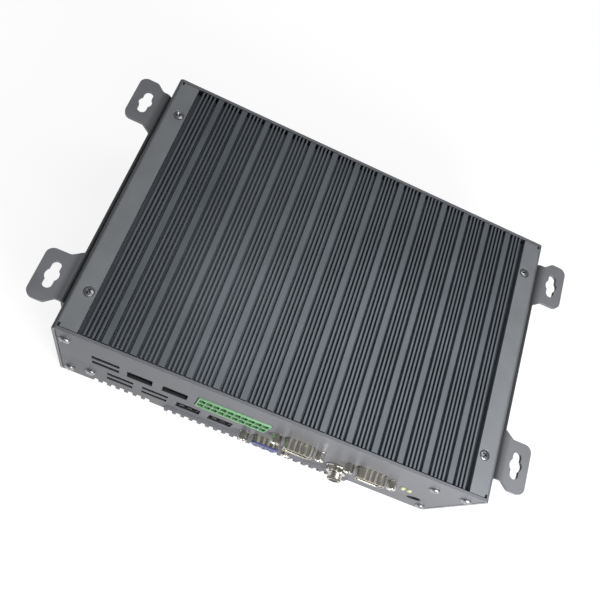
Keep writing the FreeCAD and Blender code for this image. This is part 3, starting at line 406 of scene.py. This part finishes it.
def ring(mesh, radius, height, steps, flats=None):
    # one ring of a turned shape, held inside a hexagon that measures flats across
    if radius == 0:
        return [mesh.verts.new((0, 0, height * mm))]
    points = []
    for step in range(steps):
        angle = 2 * math.pi * step / steps
        reach = radius
        if flats:
            fromFlat = (angle + math.pi / 6) % (math.pi / 3) - math.pi / 6
            reach = min(radius, flats / 2 / math.cos(fromFlat))
        points.append(mesh.verts.new((reach * mm * math.cos(angle), reach * mm * math.sin(angle),
                                      height * mm)))
    return points


def bridge(mesh, rings):
    # skin over the rings in turn, a ring of one point is a pole
    for low, high in zip(rings, rings[1:]):
        count = max(len(low), len(high))
        for step in range(count):
            after = (step + 1) % count
            corners = [low[step % len(low)], low[after % len(low)],
                       high[after % len(high)], high[step % len(high)]]
            mesh.faces.new(list(dict.fromkeys(corners)))


def turned(profile, steps=36):
    # a turned piece along Z from (radius, height) or (radius, height, flats) in millimetres
    mesh = bmesh.new()
    bridge(mesh, [ring(mesh, entry[0], entry[1], steps, *entry[2:]) for entry in profile])
    bmesh.ops.recalc_face_normals(mesh, faces=mesh.faces)
    return mesh


def meshFrom(built, name):
    mesh = bpy.data.meshes.new(name)
    built.to_mesh(mesh)
    built.free()
    return mesh


def copiesAt(mesh, places):
    # one bmesh with a copy of the mesh at each placement matrix
    together = bmesh.new()
    for place in places:
        copy = mesh.copy()
        copy.transform(place)
        together.from_mesh(copy)
        bpy.data.meshes.remove(copy)
    return together


def cut(target, cutter):
    # the target mesh less the cutter, both closed
    body = bpy.data.objects.new("body", target)
    tool = bpy.data.objects.new("tool", cutter)
    for piece in (body, tool):
        bpy.context.scene.collection.objects.link(piece)
    hole = body.modifiers.new("hole", "BOOLEAN")
    hole.operation, hole.solver, hole.object = "DIFFERENCE", "EXACT", tool
    bpy.context.view_layer.update()
    result = bpy.data.meshes.new_from_object(
        body.evaluated_get(bpy.context.evaluated_depsgraph_get()))
    for piece in (body, tool):
        bpy.data.objects.remove(piece)
    return result


sharpFrom = 32  # degrees, faces that meet at more than this keep a hard edge


def addPiece(name, data, finish, replaced=()):
    # a finished piece on the case, from its mesh or its curves
    data.materials.clear()
    data.materials.append(materials[finish])
    piece = bpy.data.objects.new(name, data)
    bpy.context.scene.collection.objects.link(piece)
    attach(piece, "root")
    if replaced:
        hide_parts(*replaced)


def addSolid(name, built, finish, replaced=()):
    # a finished piece from its bmesh, smooth but for its hard edges
    mesh = meshFrom(built, name)
    mesh.polygons.foreach_set("use_smooth", [True] * len(mesh.polygons))
    mesh.set_sharp_from_angle(angle=math.radians(sharpFrom))
    addPiece(name, mesh, finish, replaced)


def wireCurve(name, thick, rounding):
    # an empty set of curves that are drawn as round wires
    curve = bpy.data.curves.new(name, "CURVE")
    curve.dimensions = "3D"
    curve.bevel_depth = thick * mm
    curve.bevel_resolution = rounding
    return curve


def facing(point, direction, turn=0.0):
    # placement that sets local +Z along the direction, turned about it
    lie = Vector(direction).to_track_quat("Z", "Y").to_matrix().to_4x4()
    return Matrix.Translation(point) @ lie @ Matrix.Rotation(turn, 4, "Z")


# screws with a cross recess: the head starts below zero, the thread runs along +Z
screwLook = {
    "panRadius": 2.75, "panHeight": 2.0, "panRim": 0.5, "panEdge": 0.12, "flatRadius": 2.5,
    "flatDepth": 1.3, "flatRim": 0.1, "thread": 1.5, "pitch": 0.5, "threadDepth": 0.16,
    "threadGap": 0.01, "tipShare": 0.7, "armReach": 1.55, "armWidth": 0.78,
    "recessDepth": 1.25, "recessFoot": 0.35, "mouthAbove": 0.3, "mouthShare": 1.1,
    "firstTurn": 0.35, "nextTurn": 0.8,
}


def crossCutter(look, top):
    # four tapered wings from just above the head down to the foot of the recess
    reach, half = look["armReach"], look["armWidth"] / 2
    corners = []
    for quarter in range(4):
        turn = Matrix.Rotation(quarter * math.pi / 2, 2)
        corners += [turn @ Vector(c) for c in ((half, half), (half, reach), (-half, reach))]
    mesh = bmesh.new()
    levels = [(top - look["mouthAbove"], look["mouthShare"]), (top, 1.0),
              (top + look["recessDepth"], look["recessFoot"])]
    rings = [[mesh.verts.new((c.x * share * mm, c.y * share * mm, height * mm)) for c in corners]
             for height, share in levels]
    bridge(mesh, rings)
    mesh.faces.new(rings[0])
    mesh.faces.new(rings[-1])
    bmesh.ops.recalc_face_normals(mesh, faces=mesh.faces)
    return meshFrom(mesh, "crossCutter")


def threadProfile(look, start, end):
    # the thread is drawn as plain rings, because its helix is too fine to tell apart
    crest, profile, height = look["thread"], [], start
    root = crest - look["threadDepth"]
    while height + look["pitch"] < end:
        profile += [(root, height), (crest, height + look["pitch"] / 2)]
        height += look["pitch"]
    return profile + [(root, height), (crest * look["tipShare"], end), (0, end)]


def flatHead(look, crown):
    # countersunk, its top a shallow crown
    radius = look["flatRadius"]
    head = [(0, -crown)] + [(radius * share, crown * (share ** 2 - 1)) for share in
                            (0.2, 0.4, 0.55, 0.7, 0.85)]
    return head + [(radius, look["flatRim"]), (look["thread"], look["flatDepth"])]


def panHead(look):
    # a quarter of an ellipse over a straight rim
    radius, rim, edge = look["panRadius"], look["panRim"], look["panEdge"]
    head = [(0, -look["panHeight"])]
    for degrees in range(18, 91, 12):
        bend = math.radians(degrees)
        head.append((radius * math.sin(bend), -rim - (look["panHeight"] - rim) * math.cos(bend)))
    return head + [(radius, -edge), (radius - edge, 0), (look["thread"], 0)]


def screwMesh(look, crown, length):
    flat = crown is not None
    head = flatHead(look, crown) if flat else panHead(look)
    start = look["flatDepth"] if flat else look["threadGap"]
    body = meshFrom(turned(head + threadProfile(look, start, length)), "screw")
    return cut(body, crossCutter(look, -crown if flat else -look["panHeight"]))


# node, rise of a countersunk head or None for a pan head, direction of the thread, finish
screwSets = {
    "lidScrews": ("lid_screws", 0.4, (0, 0, -1), "passivatedSteel"),
    "baseScrews": ("base_screws", 0.05, (0, 0, 1), "passivatedSteel"),
    "frontScrews": ("front_screws", None, (0, 1, 0), "zincPlatedSteel"),
    "rearScrews": ("rear_screws", None, (0, -1, 0), "zincPlatedSteel"),
    "bracketScrews": ("bracket_screws", None, (-1, 0, 0), "zincPlatedSteel"),  # and their mirror
}


def placeScrews(name, node, crown, direction, finish, look):
    boxes = solidBoxes(node)
    axis = next(i for i in range(3) if direction[i])
    proud = look["panHeight"] if crown is None else 0  # how far the head stands on the sheet
    mesh = screwMesh(look, crown, (boxes[0][1] - boxes[0][0])[axis] / mm - proud)
    places = []
    for index, (low, high) in enumerate(boxes):
        way = Vector(direction)
        if axis == 0 and low.x < 0:
            way = -way
        point = (low + high) / 2
        point[axis] = low[axis] if way[axis] > 0 else high[axis]
        point += way * proud * mm
        places.append(facing(point, way, look["firstTurn"] + look["nextTurn"] * index))
    addSolid(name, copiesAt(mesh, places), finish, [node])


for name, (node, crown, direction, finish) in screwSets.items():
    placeScrews(name, node, crown, direction, finish, screwLook)
print("screws made")


def frontOf(low, high):
    # middle of a box's front face
    return Vector(((low.x + high.x) / 2, low.y, (low.z + high.z) / 2))


# hexagonal jack screws beside the D connectors, with a chamfered end and a tapped bore
jackLook = {"flats": 4.8, "corner": 2.7, "reach": 5.0, "collar": 0.5, "collarEdge": 0.05,
            "faceEdge": 0.15, "chamfer": 0.45, "bore": 1.3, "boreDepth": 4.4, "boreMouth": 0.25,
            "pitch": 0.635, "threadDepth": 0.14, "threadFrom": 1.0, "stem": 1.5, "stemTip": 0.4,
            "steps": 48, "nextTurn": 0.26}


def jackScrews(look):
    boxes = solidBoxes("jack_screws")
    length = (boxes[0][1] - boxes[0][0]).y / mm
    bore, height = look["bore"], look["boreDepth"]
    profile = [(0, height), (bore, height)]
    while height > look["threadFrom"]:  # from the bottom of the bore to its mouth
        profile += [(bore - look["threadDepth"], height - look["pitch"] / 2),
                    (bore, height - look["pitch"])]
        height -= look["pitch"]
    flats, corner, stem, tip = (look[size] for size in ("flats", "corner", "stem", "stemTip"))
    reach = look["reach"]
    waist = reach - look["collar"]
    profile += [(bore + look["boreMouth"], 0), (flats / 2 - look["faceEdge"], 0),
                (corner, look["chamfer"], flats), (corner, waist, flats),
                (corner, waist + look["collarEdge"]), (corner, reach), (stem, reach),
                (stem, length - tip), (stem - tip, length), (0, length)]
    mesh = meshFrom(turned(profile, look["steps"]), "jackScrew")
    places = [facing(frontOf(low, high), (0, 1, 0), look["nextTurn"] * index)
              for index, (low, high) in enumerate(boxes)]
    addSolid("jackScrews", copiesAt(mesh, places), "nickelPlatedSteel",
             ["jack_screws"])


jackScrews(jackLook)
print("jack screws made")

# threaded antenna connector: helical thread, plain lip, deep mouth, with its nut and washer
antennaLook = {"radius": 4.0, "pitch": 0.9, "depth": 0.3, "lip": 1.1, "mouth": 3.0,
               "mouthDepth": 4.5, "mouthEdge": (0.25, 0.3), "outerEdge": 0.25,
               "shoulder": (5.4, 2.0), "tail": 2.6, "rise": 0.15, "steps": 64, "sheet": 1.5,
               "nutFlats": 10.4, "nutEdge": 0.35, "washerEdge": 0.2, "play": 0.02,
               "ringSteps": 48}


def antennaBarrel(look):
    low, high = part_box("antenna_connector")
    reach = (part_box("antenna_washer")[1].y - low.y) / mm
    length = (high.y - low.y) / mm
    radius, mouth, steps = look["radius"], look["mouth"], look["steps"]
    wider, deeper = look["mouthEdge"]
    edge = look["outerEdge"]
    mesh = bmesh.new()
    rings = [ring(mesh, *entry, steps) for entry in (
        (0, look["mouthDepth"]), (mouth, look["mouthDepth"]), (mouth, deeper),
        (mouth + wider, 0), (radius - edge, 0), (radius, edge), (radius, look["lip"]))]
    height = look["lip"] + look["rise"]
    while height < reach:
        points = []
        for step in range(steps):
            angle = 2 * math.pi * step / steps
            phase = (height / look["pitch"] - step / steps) % 1
            out = (radius - look["depth"] * abs(2 * phase - 1)) * mm
            points.append(mesh.verts.new((out * math.cos(angle), out * math.sin(angle),
                                          height * mm)))
        rings.append(points)
        height += look["rise"]
    back, thick = look["shoulder"]
    foot = reach + look["sheet"]  # the shoulder bears on the inner face of the front wall
    rings += [ring(mesh, *entry, steps) for entry in (
        (radius, reach), (radius, foot), (back, foot), (back, foot + thick),
        (look["tail"], foot + thick), (look["tail"], length), (0, length))]
    bridge(mesh, rings)
    bmesh.ops.recalc_face_normals(mesh, faces=mesh.faces)
    mesh.transform(facing(frontOf(low, high), (0, 1, 0)))
    addSolid("antennaBarrel", mesh, "nickelPlatedSteel",
             ["antenna_connector"])


def antennaRing(name, node, edge, look, flats=()):
    # nut with chamfered corners or washer with rounded edges, round the thread
    near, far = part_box(node)
    thick = (far.y - near.y) / mm
    outer = max(far.x - near.x, far.z - near.z) / mm / 2
    face = flats[0] / 2 if flats else outer - edge
    hole = look["radius"] + look["play"]
    built = turned([(hole, 0), (face, 0), (outer, edge, *flats), (outer, thick - edge, *flats),
                    (face, thick), (hole, thick), (hole, 0)], look["ringSteps"])
    bmesh.ops.remove_doubles(built, verts=built.verts, dist=weldDistance)
    middle = frontOf(*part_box("antenna_connector"))
    built.transform(facing(Vector((middle.x, near.y, middle.z)), (0, 1, 0), math.pi / 6))
    addSolid(name, built, "nickelPlatedSteel", [node])


antennaBarrel(antennaLook)
antennaRing("antennaNut", "antenna_nut", antennaLook["nutEdge"], antennaLook,
            (antennaLook["nutFlats"],))
antennaRing("antennaWasher", "antenna_washer", antennaLook["washerEdge"], antennaLook)
print("antenna connector made")

# rolled lips round the mouths of the two male connector shells
lipLook = {"width": 16.9, "height": 8.4, "thick": 0.36, "slope": 10.0, "corner": 2.4,
           "cornerSteps": 8, "rounding": 3}


def shellLip(number, look):
    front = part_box("com_port_%d_shell" % number)[0].y + look["thick"] * mm
    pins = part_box("com_port_%d_pins" % number)
    middle = (pins[0] + pins[1]) / 2
    width, height = look["width"] - look["thick"], look["height"] - look["thick"]
    lean = height * math.tan(math.radians(look["slope"]))
    corners = [Vector((side * width / 2, height / 2)) for side in (-1, 1)]
    corners += [Vector((side * (width / 2 - lean), -height / 2)) for side in (1, -1)]
    outline = []
    for index, here in enumerate(corners):
        back = (corners[index - 1] - here).normalized()
        ahead = (corners[(index + 1) % 4] - here).normalized()
        half = back.angle(ahead) / 2
        run = look["corner"] / math.tan(half)
        centre = here + (back + ahead).normalized() * look["corner"] / math.sin(half)
        start, end = here + back * run - centre, here + ahead * run - centre
        for step in range(look["cornerSteps"] + 1):
            outline.append(centre + start.slerp(end, step / look["cornerSteps"]))
    curve = wireCurve("shellLip%d" % number, look["thick"], look["rounding"])
    line = curve.splines.new("POLY")
    line.points.add(len(outline) - 1)
    for point, place in zip(line.points, outline):
        point.co = (middle.x + place.x * mm, front, middle.z + place.y * mm, 1)
    line.use_cyclic_u = True
    addPiece("shellLip%d" % number, curve, "nickelPlatedSteel")


shellLip(1, lipLook)
shellLip(2, lipLook)
print("shell lips made")

# contacts: eight spring wires in each network jack, four blades on each serial bus tongue
lanLook = {"jacks": 4, "wires": 8, "pitch": 1.02, "thick": 0.23, "rounding": 2, "floor": 2.4,
           "run": ((2.2, 0.5), (6.5, 3.4), (12.0, 0.9))}
usbLook = {"stacks": 3, "blades": 4, "pitch": 2.2, "width": 1.0, "thick": 0.12, "reach": 0.7,
           "middle": 0.42, "sink": 0.4, "edge": 0.04}


def inRow(middle, index, count, pitch):
    # place of one of count things that stand in a row, pitch apart
    return middle + (index - (count - 1) / 2) * pitch * mm


def lanContacts(look):
    curve = wireCurve("lanContacts", look["thick"], look["rounding"])
    for number in range(1, look["jacks"] + 1):
        low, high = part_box("lan_insert_%d" % number)
        floor = low.z + look["floor"] * mm
        for wire in range(look["wires"]):
            x = inRow((low.x + high.x) / 2, wire, look["wires"], look["pitch"])
            line = curve.splines.new("BEZIER")
            line.bezier_points.add(len(look["run"]) - 1)
            for point, (back, up) in zip(line.bezier_points, look["run"]):
                point.co = (x, low.y + back * mm, floor + up * mm)
                point.handle_left_type = point.handle_right_type = "AUTO"
    addPiece("lanContacts", curve, "goldPlatedBrass")


def usbContacts(look):
    blades = bmesh.new()
    for number in range(1, look["stacks"] + 1):
        for low, high in solidBoxes("usb_tongues_%d" % number):
            deep = high.y - low.y
            for blade in range(look["blades"]):
                x = inRow((low.x + high.x) / 2, blade, look["blades"], look["pitch"])
                made = bmesh.ops.create_cube(blades, size=1)["verts"]
                bmesh.ops.scale(blades, verts=made, vec=(
                    look["width"] * mm, deep * look["reach"], look["thick"] * mm))
                bmesh.ops.translate(blades, verts=made, vec=(
                    x, low.y + deep * look["middle"], low.z - look["thick"] * look["sink"] * mm))
    bmesh.ops.bevel(blades, geom=blades.edges[:], offset=look["edge"] * mm, segments=1,
                    affect="EDGES")
    addSolid("usbContacts", blades, "goldPlatedBrass")


lanContacts(lanLook)
usbContacts(usbLook)
print("contacts made")

# two-storey terminal housing: thin walls round a chamber for each pole, rounded outer edges
terminalLook = {"poles": 10, "pitch": 3.81, "chamber": (3.05, 6.9), "depth": 7.0,
                "rows": (4.9, 13.2), "flare": 0.35, "taper": 0.15, "past": 0.2,
                "setBack": 0.3, "edge": 0.3}


def terminalHousing(look):
    low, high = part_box("terminal_header")
    face = low.y + look["setBack"] * mm
    block = bmesh.new()
    corners = bmesh.ops.create_cube(block, size=1)["verts"]
    bmesh.ops.scale(block, verts=corners, vec=(high.x - low.x, high.y - face, high.z - low.z))
    bmesh.ops.translate(block, verts=corners, vec=((low.x + high.x) / 2, (face + high.y) / 2,
                                                   (low.z + high.z) / 2))
    bmesh.ops.bevel(block, geom=block.edges[:], offset=look["edge"] * mm, segments=2,
                    affect="EDGES", profile=0.5)
    chambers = bmesh.new()
    levels = ((-look["past"], look["flare"] + look["past"]), (look["flare"], 0.0),
              (look["depth"], -look["taper"]))  # the mouth is flared to guide the plug
    for row in look["rows"]:
        for pole in range(look["poles"]):
            x = inRow((low.x + high.x) / 2, pole, look["poles"], look["pitch"])
            z = low.z + row * mm
            rings = []
            for back, grow in levels:
                wide, tall = ((size / 2 + grow) * mm for size in look["chamber"])
                rings.append([chambers.verts.new((x + wide * a, face + back * mm, z + tall * b))
                              for a, b in ((1, 1), (-1, 1), (-1, -1), (1, -1))])
            bridge(chambers, rings)
            chambers.faces.new(rings[0])
            chambers.faces.new(rings[-1])
    bmesh.ops.recalc_face_normals(chambers, faces=chambers.faces)
    housing = bmesh.new()
    housing.from_mesh(cut(meshFrom(block, "block"), meshFrom(chambers, "chambers")))
    addSolid("terminalHousing", housing, "greenNylon", ["terminal_header"])


terminalHousing(terminalLook)
print("terminal housing made")

# the two light pipes end in domes
domeLook = {"radius": 1.5, "rise": 1.2, "cadRise": 0.5, "steps": 7, "turnSteps": 32}


def lampDomes(look):
    profile = []
    for step in range(look["steps"]):
        bend = math.pi / 2 * step / (look["steps"] - 1)
        profile.append((look["radius"] * math.sin(bend), -look["rise"] * math.cos(bend)))
    boxes = solidBoxes("lamps")
    length = (boxes[0][1] - boxes[0][0]).y / mm - look["cadRise"]
    profile += [(look["radius"], length), (0, length)]
    mesh = meshFrom(turned(profile, look["turnSteps"]), "lampDome")
    foot = Vector((0, look["cadRise"] * mm, 0))
    places = [facing(frontOf(low, high) + foot, (0, 1, 0)) for low, high in boxes]
    addSolid("lampDomes", copiesAt(mesh, places), "clearAcrylic", ["lamps"])


lampDomes(domeLook)
print("lamp domes made")

# floor: a pale sweep under the case, seen as white and still with the case's soft shadow
floorLook = {"colour": "#919191", "roughness": 0.9, "size": 12.0, "lift": 0.84, "drop": 0.1}


def paleFloor(look):
    mesh = bpy.data.meshes.new("paleFloor")
    half, level = look["size"] / 2, -look["drop"] * mm  # a hair below the case's own bottom
    mesh.from_pydata([(-half, -half, level), (half, -half, level), (half, half, level),
                      (-half, half, level)], [], [(0, 1, 2, 3)])
    floor = bpy.data.objects.new("paleFloor", mesh)
    bpy.context.scene.collection.objects.link(floor)
    material, tree, surface, _ = startMaterial("paintedFloor", look)
    path = addNode(tree, "ShaderNodeLightPath")
    seen = addNode(tree, "ShaderNodeMath", {"operation": "MAXIMUM"},
                   {0: path.outputs["Is Camera Ray"], 1: path.outputs["Is Glossy Ray"]})
    clear = addNode(tree, "ShaderNodeMath", {"operation": "MAXIMUM"},
                    {0: seen.outputs[0], 1: path.outputs["Is Transmission Ray"]})
    lift = addNode(tree, "ShaderNodeMath", {"operation": "MULTIPLY"},
                   {0: clear.outputs[0], 1: look["lift"]})
    surface.inputs["Emission Color"].default_value = linear("#ffffff")
    tree.links.new(lift.outputs[0], surface.inputs["Emission Strength"])
    mesh.materials.append(material)


paleFloor(floorLook)

# studio: two soft boxes in front, one above, a low one behind and an even room
studioLooks = {
    "nearBox": {"place": (0.20, -0.27, 0.25), "size": (0.2, 0.2), "power": 1.25,
                "aim": (0.06, -0.05, 0.08)},
    "frontFill": {"place": (0.08, -0.29, 0.35), "size": (0.22, 0.22), "power": 0.35,
                  "aim": (0.04, -0.05, 0.08)},
    "highBox": {"place": (0.30, 0.27, 1.00), "size": (0.68, 0.22), "power": 2.0,
                "aim": (0.30, 0.27, 0)},
    "rearFill": {"place": (-0.35, 0.90, 0.06), "size": (0.6, 0.08), "power": 4.0,
                 "aim": (0, 0.076, 0.04)},
}
roomStrength = 0.2


def studioLight(name, look):
    lamp = bpy.data.lights.new(name, "AREA")
    lamp.shape = "RECTANGLE"
    lamp.size, lamp.size_y = look["size"]
    lamp.energy = look["power"]
    light = bpy.data.objects.new(name, lamp)
    light.location = look["place"]
    way = Vector(look["aim"]) - light.location
    light.rotation_euler = way.to_track_quat("-Z", "Y").to_euler()
    light.visible_camera = False
    bpy.context.scene.collection.objects.link(light)


for name, look in studioLooks.items():
    studioLight(name, look)


def paleRoom(strength):
    # the room is white where the camera sees it past the floor
    world = bpy.data.worlds.new("paleRoom")
    bpy.context.scene.world = world
    world.use_nodes = True
    tree = world.node_tree
    tree.nodes.clear()
    path = addNode(tree, "ShaderNodeLightPath")
    level = addNode(tree, "ShaderNodeMix", {"data_type": "FLOAT"},
                    {0: path.outputs["Is Camera Ray"], 2: strength, 3: 1.0})
    room = addNode(tree, "ShaderNodeBackground", None,
                   {"Color": linear("#ffffff"), "Strength": level.outputs[0]})
    addNode(tree, "ShaderNodeOutputWorld", None, {"Surface": room.outputs["Background"]})


paleRoom(roomStrength)

# camera: nearly overhead, from in front of the case's left half, turned on its side
cameraLook = {"place": (-53.8, -151.0, 390.2), "aim": (-10.4, -16.0, 80.0), "roll": 39.53,
              "lens": 40.7, "sensor": 36}


def studioCamera(look):
    data = bpy.data.cameras.new("studioCamera")
    data.lens = look["lens"]
    data.sensor_width = look["sensor"]
    camera = bpy.data.objects.new("studioCamera", data)
    place = Vector(look["place"]) * mm
    aim = Vector(look["aim"]) * mm - place
    turn = aim.to_track_quat("-Z", "Y").to_matrix() @ Matrix.Rotation(
        math.radians(look["roll"]), 3, "Z")
    camera.matrix_world = Matrix.Translation(place) @ turn.to_4x4()
    bpy.context.scene.collection.objects.link(camera)
    bpy.context.scene.camera = camera


studioCamera(cameraLook)
bpy.context.scene.view_settings.view_transform = "Standard"
print("studio set")
